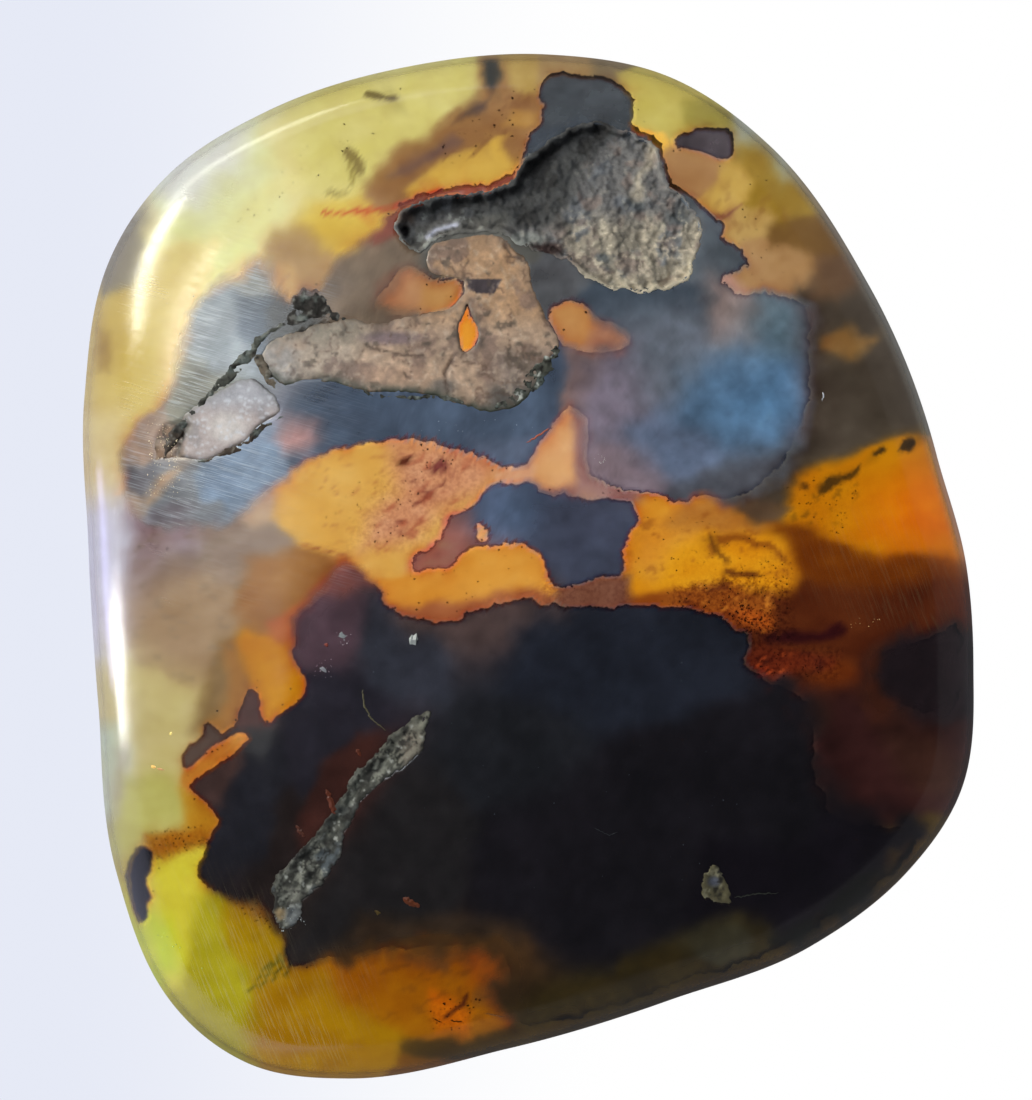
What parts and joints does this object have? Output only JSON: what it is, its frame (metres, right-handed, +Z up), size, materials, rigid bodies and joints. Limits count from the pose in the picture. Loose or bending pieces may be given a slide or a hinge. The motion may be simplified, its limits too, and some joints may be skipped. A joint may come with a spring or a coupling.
{
  "type": "burmite amber pebble",
  "caption": "Polished, see-through amber pebble with dark debris sealed in it, calcite patches and a rough rock-filled pit; rests on a small flat spot.",
  "frame": {"origin": "middle of the pebble's outline at the level of its small flat spot", "axes": "+Z up through the polished dome, +Y along the pebble's length towards its rounder end, where the pit is, +X to the right seen from above"},
  "size_m": [0.0446, 0.0512, 0.013],
  "materials": {
    "amber": "polished",
    "slate_debris": "satin",
    "black_debris": "satin",
    "rock_crust": "matte",
    "pink_calcite": "satin",
    "grey_calcite": "satin"
  },
  "bodies": {
    "root": {"amber_top": "amber", "amber_bottom": "amber", "upper_debris": "slate_debris", "shoulder_debris": "black_debris", "island_debris": "slate_debris", "lower_debris": "black_debris", "fang_debris": "black_debris", "rim_debris": "black_debris", "pit_crust": "rock_crust", "calcite_patch": "pink_calcite", "calcite_tongue": "grey_calcite", "vein_crust": "rock_crust", "stone_chip": "rock_crust"}
  },
  "joints": []
}
